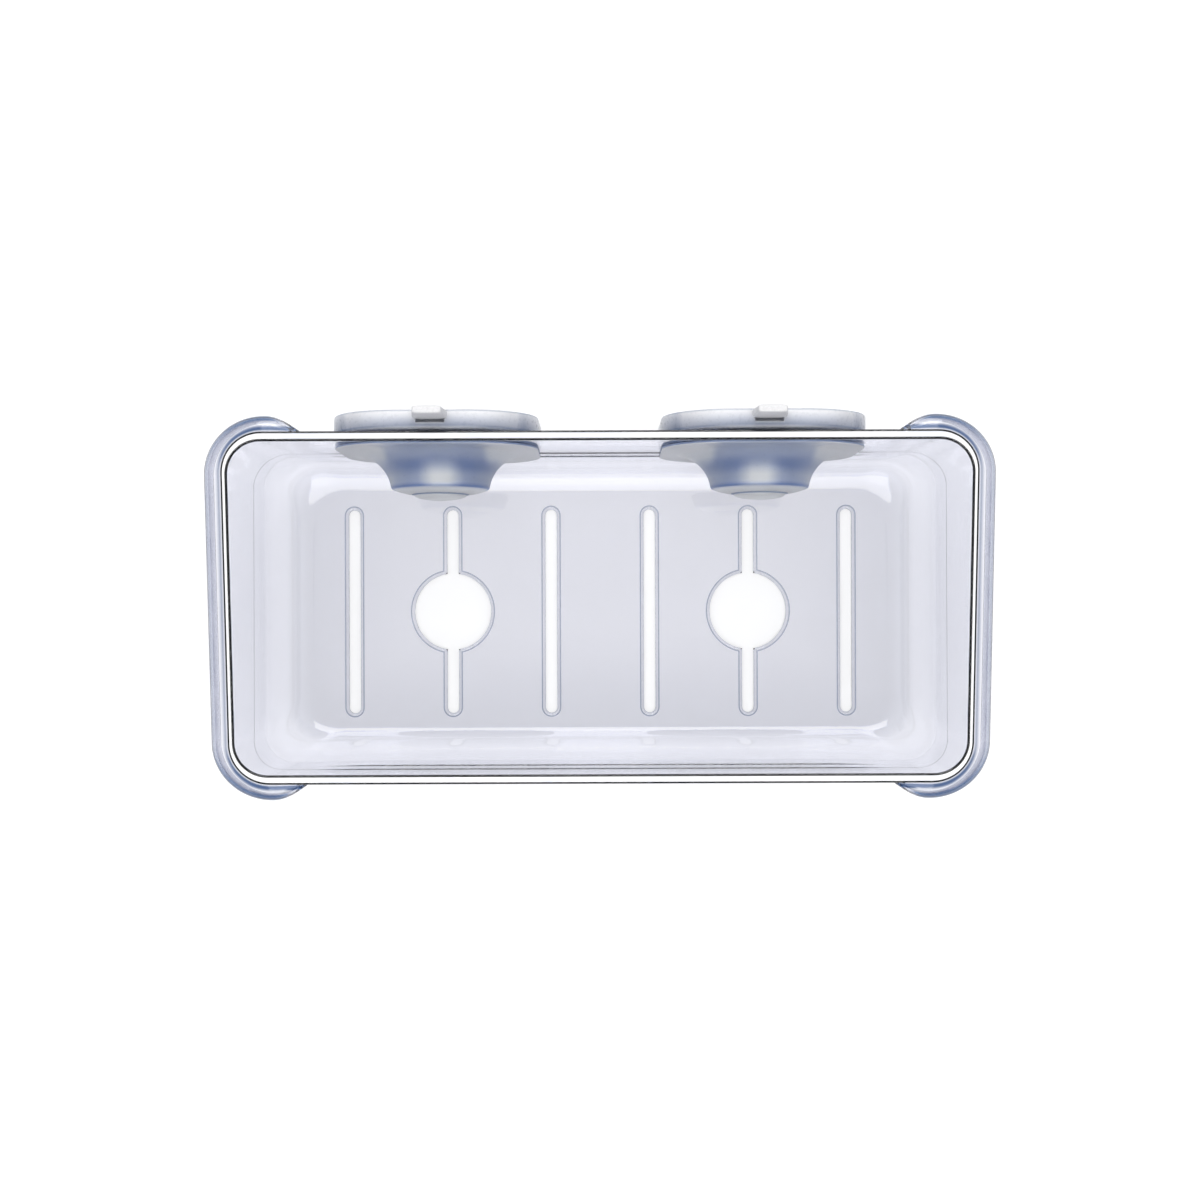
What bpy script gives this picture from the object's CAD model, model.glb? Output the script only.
"""Clear basket on two push-button suction units: its surfaces, materials and studio.

Laid out as an add-on and run as a script around the packed model. Lengths are in metres.
+Z is up, +Y points to the wall that the basket hangs on.
"""

import bmesh
import bpy
import numpy as np
from bpy.props import FloatProperty, FloatVectorProperty, IntProperty, PointerProperty
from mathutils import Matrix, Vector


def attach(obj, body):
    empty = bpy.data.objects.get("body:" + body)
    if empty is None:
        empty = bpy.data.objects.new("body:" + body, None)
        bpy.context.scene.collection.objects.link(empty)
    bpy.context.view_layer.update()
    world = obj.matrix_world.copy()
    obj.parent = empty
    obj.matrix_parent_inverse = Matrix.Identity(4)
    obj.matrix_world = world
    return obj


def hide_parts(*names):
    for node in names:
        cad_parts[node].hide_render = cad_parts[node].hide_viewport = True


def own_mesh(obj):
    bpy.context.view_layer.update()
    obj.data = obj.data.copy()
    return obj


bl_info = {
    "name": "Suction Basket",
    "version": (1, 0, 0),
    "blender": (4, 5, 0),
    "location": "3D View > Sidebar > Basket",
    "description": "Builds a clear wall basket with its suction units, materials and studio",
    "category": "Object",
}

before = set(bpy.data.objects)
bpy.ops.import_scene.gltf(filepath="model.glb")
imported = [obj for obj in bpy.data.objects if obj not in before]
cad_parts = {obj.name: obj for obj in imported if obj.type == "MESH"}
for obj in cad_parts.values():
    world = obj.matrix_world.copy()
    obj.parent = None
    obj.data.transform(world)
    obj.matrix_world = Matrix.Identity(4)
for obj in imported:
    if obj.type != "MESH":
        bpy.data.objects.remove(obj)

MM = 0.001
MERGE = 1e-7             # points closer than this are one point
CORNER_STEPS = 24        # columns round a corner of the tub
TAPER_STEPS = 34         # columns along each taper of a lip
LONG_STEPS = 26          # columns between two tapers
SHORT_STEPS = 12         # columns along a short side
ROLL_STEPS = 12          # rows round a lip's roll
FOOT_STEPS = 20          # rows up the tub's foot
TURN_STEPS = 144         # columns round a turned piece
FOOT_MIDDLE = 5.7 * MM   # from the back wall to the middle of a tab's foot
SIDES = {"left": -1, "right": 1}

FLOOR_REACH = 0.42       # from the middle of the paper to its edges
LIGHTS_AIM = (0, 0, 0.04)
LIGHTS = (               # name, place, size, power in watts, seen only in gloss
    ("lamp_front", (0, -0.52, 0.6), (0.54, 0.32), 1.3, False),
    ("lamp_back", (0, 0.52, 0.6), (0.54, 0.32), 1.3, False),
    ("card_front", (0, -0.29, 0.76), (0.6, 0.38), 1.25, True),
    ("card_back", (0, 0.66, 0.31), (0.62, 0.56), 2.1, True),
)


def linear(code):
    """Linear RGBA of an sRGB hex colour."""
    srgb = np.array([int(code[i:i + 2], 16) / 255 for i in (0, 2, 4)])
    rgb = np.where(srgb <= 0.04045, srgb / 12.92, ((srgb + 0.055) / 1.055) ** 2.4)
    return (*rgb.tolist(), 1.0)


def length(name, size, description):
    """A length that the user may change, its default written in millimetres."""
    return FloatProperty(name=name, description=description, default=size * MM, unit="LENGTH")


def colour(name, code, description):
    """A colour that the user may change."""
    return FloatVectorProperty(
        name=name, description=description, default=linear(code), subtype="COLOR", size=4, min=0, max=1
    )


class TubSizes(bpy.types.PropertyGroup):
    """Sizes of the moulded tub."""

    half_x: length("Half length", 127.5, "From the middle to the rim at each end")
    half_y: length("Half depth", 59.8, "From the middle to the rim at front and back")
    corner: length("Rim corner", 14.0, "Radius of the rim's corners in plan")
    back_z: length("Back height", 87.4, "Top of the rim over the back wall")
    front_z: length("Front height", 75.0, "Top of the rim over the front wall")
    middle_y: length("Middle", -0.8, "Where the rim's middle stands along the depth")
    bead_drop: length("Bead depth", 2.5, "Depth of the rim's bead")
    bead_round: length("Bead rounding", 0.8, "Radius of the bead's two top edges")
    bead_swell: length("Bead swell", 0.5, "How far the bead stands out from the long walls")
    wall: length("Wall", 2.3, "Thickness of the walls")
    floor: length("Floor", 2.4, "Thickness of the floor")
    draft: length("Draft", 1.3, "How far the front and side walls lean in")
    foot_reach: length("Foot reach", 12.5, "The foot's curve, along the floor")
    foot_rise: length("Foot rise", 28.0, "The foot's curve, up the front and side walls")
    back_rise: length("Back foot rise", 10.5, "The foot's curve, up the back wall")
    floor_corner: length("Floor corner", 15.0, "Radius of the floor's corners in plan")
    step_z: length("Step height", 48.0, "Height of the faint step round the inside of the walls")
    step_drop: length("Second step", 9.0, "From it down to a second step on the long walls")
    step: length("Step", 0.26, "How far each step stands in on the long walls")
    step_fade: length("Step fade", 24.0, "Length over which the steps fade in from the corners")
    step_lean: length("Step lean", 6.0, "How much higher the step is at the front, and lower at the back")


class LipSizes(bpy.types.PropertyGroup):
    """Sizes of the rolled lips at the tub's ends."""

    reach: length("Reach", 7.0, "How far the lip stands out at the ends")
    corner_reach: length("Corner reach", 5.9, "How far it stands out where it leaves the corner")
    roll: length("Roll", 6.5, "Drop of the rolled part")
    skirt: length("Skirt", 6.0, "Straight part below the roll")
    skin: length("Skin", 1.4, "Thickness of the lip")
    sink: length("Sink", 0.9, "How far below the rim's top the roll starts")
    root: length("Root", 1.2, "How deep in the rim the roll starts")
    run: length("Run", 13.5, "Length of the taper along the front and back rim")


class SlotSizes(bpy.types.PropertyGroup):
    """Sizes of the floor's slots and round holes."""

    count: IntProperty(name="Slots", description="Number of slots", default=6, min=1)
    pitch: length("Pitch", 38.1, "From one slot to the next")
    width: length("Width", 4.3, "Clear width of a slot")
    run: length("Length", 78.6, "Clear length of a slot")
    edge: length("Edge rounding", 1.15, "Radius of the edges of slots and holes")
    border: length("Border", 1.6, "Width of the sunk border round slots and holes")
    hole: length("Hole radius", 14.7, "Clear radius of the round holes")


class UnitSizes(bpy.types.PropertyGroup):
    """Sizes of a suction unit; distances along its axis start at the back wall's outer face."""

    x: length("Place", 57.15, "From the basket's middle to a unit's axis")
    z: length("Height", 49.0, "From the underside to a unit's axis")
    pad_half: length("Pad half size", 35.7, "Half the width of the rounded-square pad")
    pad_corner: length("Pad corner", 23.3, "Radius of the pad's corners")
    pad_rear: length("Pad face", 8.0, "The face that meets the wall")
    pad_front: length("Pad front", 1.6, "The pad's front face")
    pad_lip: length("Pad lip", 31.0, "Radius where the pad's hollow starts")
    cover_half: length("Cover half size", 35.4, "Half the width of the cover's flange")
    cover_rear: length("Cover rear", 2.6, "The flange's rear face, inside the back wall")
    cover_skin: length("Cover skin", 1.6, "Thickness of the cover")
    neck: length("Neck radius", 17.5, "Radius of the cover's neck at its front edge")
    neck_front: length("Neck front", 15.9, "The neck's front edge")
    flare: length("Flare radius", 13.5, "Radius of the flare from the neck to the flange")
    face_rise: length("Face rise", 2.0, "How far the cover's face is domed")
    button: length("Button radius", 9.8, "Radius of the push button")
    button_rise: length("Button rise", 2.0, "How far the button is domed")
    travel: length("Travel", 2.5, "How far the button moves")
    hub: length("Hub radius", 12.0, "Radius of the hub that passes through the back wall")
    spring: length("Spring radius", 6.1, "Radius of the return spring's coil")
    wire: length("Wire", 0.9, "Diameter of the spring's wire")
    turns: IntProperty(name="Turns", description="Turns of the return spring", default=6, min=2)


class TabSizes(bpy.types.PropertyGroup):
    """Sizes of the release tabs."""

    width: length("Width", 12.0, "Width at the foot of the tab")
    top_width: length("Top width", 9.6, "Width at the top of the tab")
    rise: length("Rise", 11.0, "Height above the pad's top edge")
    thick: length("Thickness", 3.3, "Thickness at the foot of the tab")
    top_thick: length("Top thickness", 2.5, "Thickness at the top of the tab")
    edge: length("Edge rounding", 0.6, "Radius of the tab's edges")
    heel: length("Heel rounding", 1.3, "Radius of the lower edges at the tab's front and rear")
    foot_depth: length("Foot depth", 3.4, "How deep the tab's foot sits in the pad")


class BasketColours(bpy.types.PropertyGroup):
    """Colours of the materials."""

    clear: colour("Clear plastic", "F7F7FB", "Tint of the clear tub's surface")
    deep: colour("Turned edges", "3F5A86", "Tint of the clear tub where its edges turn light away")
    depth: colour("Depth tint", "8A93B8", "Tint of the clear tub, which deepens with its thickness")
    edge: colour("Rim edge", "FFFFFF", "The bright flat on top of the rim")
    frosted: colour("Frosted plastic", "F0F5FE", "Covers, buttons and backing plates")
    frosted_deep: colour("Frosted depth", "7489B8", "The frosted plastic where it stands edge-on")
    soft: colour("Soft pad", "F2F2F4", "Suction pads")
    soft_deep: colour("Soft depth", "7E8AA3", "The soft pad where it stands edge-on")
    tab: colour("Tab", "EBEAEA", "Release tabs")
    rubber: colour("Gasket", "8C9096", "Wall gaskets")
    nut: colour("Nut", "B9BEC8", "Ring nuts")
    steel: colour("Steel", "C3C2BF", "Springs and clips")


GROUPS = {
    "basket_tub": TubSizes,
    "basket_lip": LipSizes,
    "basket_slots": SlotSizes,
    "basket_unit": UnitSizes,
    "basket_tab": TabSizes,
    "basket_colours": BasketColours,
}


def settings(context, *keys):
    """The scene's groups of settings, one for each key."""
    return [getattr(context.scene, f"basket_{key}") for key in keys]


def add_node(tree, kind, inputs=None, stops=(), feeds=None, **options):
    """Add a node. Inputs are values or other nodes' sockets, stops are a colour ramp's, and feeds
    says which socket each output goes to."""
    node = tree.nodes.new(kind)
    for key, value in options.items():
        setattr(node, key, value)
    for key, value in (inputs or {}).items():
        if isinstance(value, bpy.types.NodeSocket):
            tree.links.new(value, node.inputs[key])
        else:
            node.inputs[key].default_value = value
    if stops:
        ramp = node.color_ramp
        while len(ramp.elements) < len(stops):
            ramp.elements.new(1)
        for element, (place, shade) in zip(ramp.elements, stops):
            element.position = place
            element.color = shade
    for key, socket in (feeds or {}).items():
        tree.links.new(node.outputs[key], socket)
    return node


def new_material(name, tint, roughness, **sockets):
    """A Principled material whose tree is ready for more nodes: material, tree, shader."""
    material = bpy.data.materials.new(name)
    material.use_nodes = True
    tree = material.node_tree
    shader = tree.nodes["Principled BSDF"]
    shader.inputs["Base Color"].default_value = tint
    shader.inputs["Roughness"].default_value = roughness
    for key, value in sockets.items():
        shader.inputs[key.replace("_", " ")].default_value = value
    return material, tree, shader


def moulded_surface(tree, shader, ripple, grain, low, high):
    """Slow flow ripples and a fine grain in the height, and the same grain in the gloss.

    Ripple and grain are (size, height) in millimetres; low and high are the roughness in the
    grain's dips and on its tops. The ripples' and the grain's values come back.
    """
    place = add_node(tree, "ShaderNodeTexCoord").outputs["Object"]
    slow, fine = (
        add_node(
            tree, "ShaderNodeTexNoise", {"Vector": place, "Scale": 1 / (size * MM), "Detail": detail}
        ).outputs["Fac"]
        for size, detail in ((ripple[0], 2.0), (grain[0], 4.0))
    )
    flow = add_node(tree, "ShaderNodeBump", {"Height": slow, "Distance": ripple[1] * MM})
    add_node(
        tree, "ShaderNodeBump",
        {"Height": fine, "Distance": grain[1] * MM, "Normal": flow.outputs["Normal"]},
        feeds={"Normal": shader.inputs["Normal"]},
    )
    add_node(
        tree, "ShaderNodeMapRange",
        {"Value": fine, "From Min": 0.3, "From Max": 0.7, "To Min": low, "To Max": high},
        feeds={"Result": shader.inputs["Roughness"]},
    )
    return slow, fine


def tint_edges(tree, shader, tint, deep, extra):
    """Base colour from the turned_edge attribute: the tint at 0, the deep tint at 1.

    The extra value, another node's socket, adds up to 0.12 to the tone.
    """
    turned = add_node(tree, "ShaderNodeAttribute", attribute_name="turned_edge").outputs["Fac"]
    tone = add_node(tree, "ShaderNodeMath", {0: extra, 1: 0.12, 2: turned}, operation="MULTIPLY_ADD")
    add_node(
        tree, "ShaderNodeValToRGB", {"Fac": tone.outputs[0]}, stops=((0.0, tint), (1.0, deep)),
        feeds={"Color": shader.inputs["Base Color"]},
    )


def floor_shade(tree):
    """A value that grows on the floor towards its ends and its front, and is 0 up the walls: the
    larger of a smooth step of |x| and a smooth step of -y, times a smooth step down of z."""
    place = add_node(tree, "ShaderNodeTexCoord").outputs["Object"]
    axes = add_node(tree, "ShaderNodeSeparateXYZ", {"Vector": place}).outputs
    from_middle = add_node(tree, "ShaderNodeMath", {0: axes["X"]}, operation="ABSOLUTE").outputs[0]
    by_end, by_front, down = (
        add_node(
            tree, "ShaderNodeMapRange",
            {"Value": value, "From Min": start * MM, "From Max": end * MM, "To Min": first, "To Max": last},
            interpolation_type="SMOOTHSTEP",
        ).outputs["Result"]
        for value, start, end, first, last in (
            (from_middle, 60, 112, 0.0, 0.5),
            (axes["Y"], -42, -5, 0.6, 0.0),
            (axes["Z"], 3, 9, 1.0, 0.0),
        )
    )
    larger = add_node(tree, "ShaderNodeMath", {0: by_end, 1: by_front}, operation="MAXIMUM")
    shade = add_node(tree, "ShaderNodeMath", {0: larger.outputs[0], 1: down}, operation="MULTIPLY")
    return shade.outputs[0]


def clear_styrene(colours):
    """Clear styrene, injection moulded: the eye sees the white floor through it, with a faint
    blue where the way through is long, blue-grey lines where edges turn the light away, and
    slight flow ripples in its gloss."""
    material, tree, shader = new_material(
        "clear moulded styrene", colours.clear, 0.02, Transmission_Weight=1.0, IOR=1.55
    )
    moulded_surface(tree, shader, (45, 0.03), (0.9, 0.0006), 0.01, 0.035)
    tint_edges(tree, shader, colours.clear, colours.deep, floor_shade(tree))
    add_node(
        tree, "ShaderNodeVolumeAbsorption", {"Color": colours.depth, "Density": 56.0},
        feeds={"Volume": tree.nodes["Material Output"].inputs["Volume"]},
    )
    return material


def bright_edge(colours):
    """The flat on top of the rim, where light led up inside the wall comes out: a clear box's
    edge is its brightest line. Slightly uneven along the rim."""
    material, tree, shader = new_material("bright styrene edge", colours.edge, 0.5)
    slow, _ = moulded_surface(tree, shader, (25, 0.02), (0.8, 0.002), 0.42, 0.55)
    add_node(
        tree, "ShaderNodeValToRGB", {"Fac": slow}, stops=((0.3, linear("EEF2FA")), (0.5, colours.edge)),
        feeds={"Color": shader.inputs["Base Color"]},
    )
    return material


def frosted_polycarbonate(colours, name="frosted polycarbonate", roughness=0.34):
    """Polycarbonate from a spark-eroded mould: a satin, milky skin that lets light through and
    blurs what is behind it."""
    material, tree, shader = new_material(
        name, colours.frosted, roughness, Transmission_Weight=0.25, IOR=1.58,
        Subsurface_Weight=1.0, Subsurface_Radius=(1.0, 1.0, 1.0), Subsurface_Scale=5 * MM,
    )
    slow, _ = moulded_surface(tree, shader, (30, 0.04), (0.45, 0.006), roughness - 0.07, roughness + 0.08)
    tint_edges(tree, shader, colours.frosted, colours.frosted_deep, slow)
    return material


def soft_elastomer(colours, name="soft clear elastomer", scatter=6 * MM):
    """Soft clear elastomer, press moulded: milky and slightly uneven, with an oily gloss.

    Scatter is how far light spreads in it. It is short in a thin sheet, which else reads grey.
    """
    material, tree, shader = new_material(
        name, colours.soft, 0.3, IOR=1.45,
        Subsurface_Weight=0.8, Subsurface_Radius=(1.0, 1.0, 1.0), Subsurface_Scale=scatter,
    )
    slow, _ = moulded_surface(tree, shader, (18, 0.03), (1.2, 0.002), 0.24, 0.36)
    tint_edges(tree, shader, colours.soft, colours.soft_deep, slow)
    return material


def satin_plastic(name, tint, shade, roughness, grain=0.5):
    """Opaque moulded plastic or rubber with a fine eroded grain and a slight mottle."""
    material, tree, shader = new_material(name, tint, roughness)
    _, fine = moulded_surface(tree, shader, (12, 0.02), (grain, 0.01), roughness - 0.06, roughness + 0.08)
    add_node(
        tree, "ShaderNodeValToRGB", {"Fac": fine}, stops=((0.3, shade), (0.6, tint)),
        feeds={"Color": shader.inputs["Base Color"]},
    )
    return material


def drawn_steel(colours):
    """Drawn spring steel: bright and cold, with a fine uneven gloss from the die."""
    material, tree, shader = new_material("drawn spring steel", colours.steel, 0.3, Metallic=1.0)
    _, fine = moulded_surface(tree, shader, (6, 0.004), (0.25, 0.004), 0.2, 0.38)
    add_node(
        tree, "ShaderNodeValToRGB", {"Fac": fine}, stops=((0.35, linear("A8A7A3")), (0.6, colours.steel)),
        feeds={"Color": shader.inputs["Base Color"]},
    )
    return material


def shared(maker, *values):
    """The material that a maker has made before from the same texts, or a new one."""
    store = bpy.context.scene.get("basket_materials", {})
    key = maker.__name__ + "".join(value for value in values if isinstance(value, str))
    if key in store:
        return bpy.data.materials[store[key]]
    material = maker(*values)
    bpy.context.scene["basket_materials"] = {**dict(store), key: material.name}
    return material


def smooth(share):
    """Smooth step: 3 s^2 - 2 s^3, with s held between 0 and 1."""
    s = np.clip(share, 0, 1)
    return s * s * (3 - 2 * s)


def add_piece(name, mesh, material, body, replaced, sharp=32, even=False):
    """Make an object of a finished mesh, shade it and tie it to the frame.

    An even piece weighs its normals by the faces' areas, which keeps its large faces flat.
    """
    mesh.materials.clear()
    mesh.materials.append(material)
    mesh.shade_smooth()
    mesh.set_sharp_from_angle(angle=np.radians(sharp))
    piece = bpy.data.objects.new(name, mesh)
    bpy.context.scene.collection.objects.link(piece)
    if even:
        weighing = piece.modifiers.new("even_shading", "WEIGHTED_NORMAL")
        weighing.weight = 100
        weighing.keep_sharp = True
    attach(piece, body)
    if replaced:
        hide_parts(*replaced)
    return piece


def finish_node(node, material):
    """Give a CAD node, which keeps its own mesh, its material."""
    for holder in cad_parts[node].material_slots:
        holder.material = material


def grid_mesh(name, grid, wrap_rows=False, caps=False):
    """Mesh of a grid of points, rows by columns; the columns close on themselves.

    Each cell is one quad. The quads are turned about if the signed volume comes out negative,
    and rows that shrink to a point are merged, so that poles are closed.
    """
    rows, columns = grid.shape[:2]
    row = np.arange(rows if wrap_rows else rows - 1)[:, None]
    column = np.arange(columns)[None]
    below, above = row * columns, (row + 1) % rows * columns
    after = (column + 1) % columns
    quads = np.stack([below + column, below + after, above + after, above + column], -1).reshape(-1, 4)
    points = grid.reshape(-1, 3)
    first, second, third, fourth = (points[quads[:, corner]] for corner in range(4))
    volume = (first * np.cross(second, third)).sum() + (first * np.cross(third, fourth)).sum()
    if caps:
        for start in (0, (rows - 1) * columns):
            ring = points[start:start + columns]
            turn = -1 if start == 0 else 1
            area = np.cross(ring, np.roll(ring, -1, 0)).sum(0)
            volume += turn * (ring.mean(0) * area).sum()
    faces = (quads if volume > 0 else quads[:, ::-1]).tolist()
    if caps:
        low = list(range(columns))
        high = list(range((rows - 1) * columns, rows * columns))
        faces += [low[::-1], high] if volume > 0 else [low, high[::-1]]
    mesh = bpy.data.meshes.new(name)
    mesh.from_pydata(points.tolist(), [], faces)
    work = bmesh.new()
    work.from_mesh(mesh)
    bmesh.ops.remove_doubles(work, verts=work.verts, dist=MERGE)
    work.to_mesh(mesh)
    work.free()
    return mesh


def carve(name, mesh, cutters):
    """The mesh with the cutters' meshes taken out of it, one after another."""
    target = bpy.data.objects.new(name, mesh)
    bpy.context.scene.collection.objects.link(target)
    bodies = [target]
    for cutter in cutters:
        body = bpy.data.objects.new(cutter.name, cutter)
        bpy.context.scene.collection.objects.link(body)
        bodies.append(body)
        modifier = target.modifiers.new(cutter.name, "BOOLEAN")
        modifier.operation = "DIFFERENCE"
        modifier.solver = "EXACT"
        modifier.use_self = False
        modifier.object = body
    bpy.context.view_layer.update()
    result = bpy.data.meshes.new_from_object(target.evaluated_get(bpy.context.evaluated_depsgraph_get()))
    for body in bodies:
        bpy.data.objects.remove(body)
    result.name = name
    if not result.polygons:
        raise RuntimeError(f"{name} came out empty when it was carved")
    return result


def tone_at(value, *stops):
    """Tone at a value, along straight lines between stops of (value, tone)."""
    return np.interp(value, *np.transpose(stops))


def fillet(profile, radii, steps=4, closed=True):
    """Round a profile's corners with parabolas tangent to both sides.

    At a corner C with tangent points A and B one radius away, the curve is
    (1-s)^2 A + 2s(1-s) C + s^2 B. The radius is held to 45% of the shorter side.
    """
    corners = np.asarray(profile, float)
    before, after = np.roll(corners, 1, 0), np.roll(corners, -1, 0)
    to_before, to_after = before - corners, after - corners
    long_before = np.linalg.norm(to_before[:, :2], axis=1)[:, None]
    long_after = np.linalg.norm(to_after[:, :2], axis=1)[:, None]
    reach = np.minimum(np.asarray(radii, float)[:, None], 0.45 * np.minimum(long_before, long_after))
    if not closed:
        reach[[0, -1]] = 0
    start = corners + to_before / long_before * reach
    end = corners + to_after / long_after * reach
    start[:, 2] = end[:, 2] = corners[:, 2]
    share = np.linspace(0, 1, steps + 1)[:, None, None]
    curve = (1 - share) ** 2 * start + 2 * share * (1 - share) * corners + share ** 2 * end
    return curve.transpose(1, 0, 2).reshape(-1, corners.shape[1])


def square_reach(turn, half, corner):
    """Distance from the middle of a rounded square to its edge, in the direction of turn."""
    across, up = np.abs(np.cos(turn)), np.abs(np.sin(turn))
    large, small = np.maximum(across, up), np.minimum(across, up)
    inner = half - corner
    bend = inner * (across + up) + np.sqrt(np.maximum(corner ** 2 - inner ** 2 * (across - up) ** 2, 0))
    return np.where(large * inner >= small * half, half / large, bend)


def unit_axis(context, side):
    """A unit's axis: its X, the Y of the back wall's outer face, and its Z."""
    tub, unit = context.scene.basket_tub, context.scene.basket_unit
    return np.array([SIDES[side] * unit.x, tub.half_y - tub.bead_swell + tub.middle_y, unit.z])


def turned_grid(context, side, profile, columns=TURN_STEPS, half=None):
    """Grid of points turned about a unit's axis.

    A profile point is (radius, distance along, squareness). The distance from the axis in a
    direction is the radius plus squareness times (the rounded square's edge there - its half).
    """
    unit = context.scene.basket_unit
    x, y, z = unit_axis(context, side)
    half = half or unit.pad_half
    turn = np.linspace(0, 2 * np.pi, columns, endpoint=False)[None]
    radius, along, square = (np.asarray(profile, float)[:, column, None] for column in range(3))
    reach = radius + square * (square_reach(turn, half, unit.pad_corner) - half)
    return np.stack([x + reach * np.cos(turn), y + along + 0 * turn, z + reach * np.sin(turn)], -1)


def arc(centre, radii, first, last, steps):
    """Points of an ellipse's arc in a profile, all of them round, from one angle to another."""
    turn = np.linspace(first, last, steps + 1)
    return np.stack([
        centre[0] + radii[0] * np.cos(turn), centre[1] + radii[1] * np.sin(turn), 0 * turn
    ], -1)


def plan_rings(half_x, front, back, corner, fractions):
    """Rounded rectangles in plan, one for each row, counter-clockwise from the +X back corner.

    A corner is centre + radius (cos t, sin t); a straight runs between two corners' ends by the
    given fractions, for the long and the short sides.
    """
    turn = np.linspace(0, np.pi / 2, CORNER_STEPS + 1)
    places = ((1, back, 1), (-1, back, 1), (-1, front, -1), (1, front, -1))
    arcs = []
    for quarter, (side, edge, way) in enumerate(places):
        middle = np.stack([side * (half_x - corner), edge - way * corner], -1)[:, None]
        angle = turn + quarter * np.pi / 2
        arcs.append(middle + corner[:, None, None] * np.stack([np.cos(angle), np.sin(angle)], -1))
    parts = []
    for quarter, bend in enumerate(arcs):
        share = fractions[quarter % 2][None, :, None]
        parts += [bend, bend[:, -1:] * (1 - share) + arcs[(quarter + 1) % 4][:, :1] * share]
    return np.concatenate(parts, 1)


def plan_outwards(fractions):
    """The outward direction at every station of a plan ring."""
    turn = np.linspace(0, np.pi / 2, CORNER_STEPS + 1)
    angles = []
    for quarter in range(4):
        straight = np.full(len(fractions[quarter % 2]), (quarter + 1) * np.pi / 2)
        angles += [turn + quarter * np.pi / 2, straight]
    angle = np.concatenate(angles)
    return np.stack([np.cos(angle), np.sin(angle)], -1)


def rim_height(tub, y):
    """Height of the rim's top: a straight slope from the front edge up to the back edge."""
    share = (y + tub.half_y) / (2 * tub.half_y)
    return tub.front_z + (tub.back_z - tub.front_z) * share


def rim_rows(tub, insets_x, insets_y, drops, fractions):
    """Rows of the rim, set in from its edge and dropped from its top."""
    inset_x, inset_y, drop = (np.asarray(values, float) for values in (insets_x, insets_y, drops))
    half_y = tub.half_y - inset_y
    corner = np.maximum(tub.corner - (inset_x + inset_y) / 2, tub.wall)
    plan = plan_rings(tub.half_x - inset_x, -half_y, half_y, corner, fractions)
    height = rim_height(tub, plan[..., 1]) - drop[:, None]
    return np.concatenate([plan, height[..., None]], -1)


def foot_rows(tub, turns, thick, fractions):
    """Rows of the foot at angles up its quarter ellipse; thick is the wall outside, 0 inside.

    With s = 1 - sin t the height is floor + rise s and the reach in is reach (1 - cos t). The
    back foot rises less, so its own share of the ellipse is s rise / back rise, held at 1.
    """
    share = 1 - np.sin(turns)
    reach = tub.foot_reach * (1 - np.cos(turns))
    back_share = np.minimum(share * tub.foot_rise / tub.back_rise, 1)
    back_cos = np.sqrt(np.maximum(1 - (1 - back_share) ** 2, 0))
    inner_x = tub.half_x - tub.wall - tub.draft
    inner_back = tub.half_y - tub.bead_swell - tub.wall
    inner_front = inner_back - tub.draft
    out = thick * np.cos(turns)
    corner = tub.floor_corner + (tub.corner - tub.wall - tub.floor_corner) * share + out
    plan = plan_rings(
        inner_x - reach + out,
        -(inner_front - reach + out),
        inner_back - tub.foot_reach * (1 - back_cos) + thick * back_cos,
        corner,
        fractions,
    )
    height = tub.floor + tub.foot_rise * share - (tub.floor if thick else 0) * np.sin(turns)
    return np.concatenate([plan, np.broadcast_to(height[:, None, None], (*plan.shape[:2], 1))], -1)


def lip_reach(tub, lip, fractions):
    """How far the lip stands out at every station: full at the ends, less round the corners, and
    along the long rims falling as a sine over the lip's run, to end just inside the rim."""
    outward = plan_outwards(fractions)
    reach = lip.corner_reach + (lip.reach - lip.corner_reach) * outward[:, 0] ** 2
    long_side = 2 * (tub.half_x - tub.corner)
    buried = -lip.root / 3
    away = np.minimum(fractions[0], 1 - fractions[0]) * long_side
    taper = buried + (lip.corner_reach - buried) * np.sin(np.clip(1 - away / lip.run, 0, 1) * np.pi / 2)
    start = CORNER_STEPS + 1
    half = len(reach) // 2
    for first in (start, half + start):
        reach[first:first + len(taper)] = taper
    return np.maximum(reach, 0), outward


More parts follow.
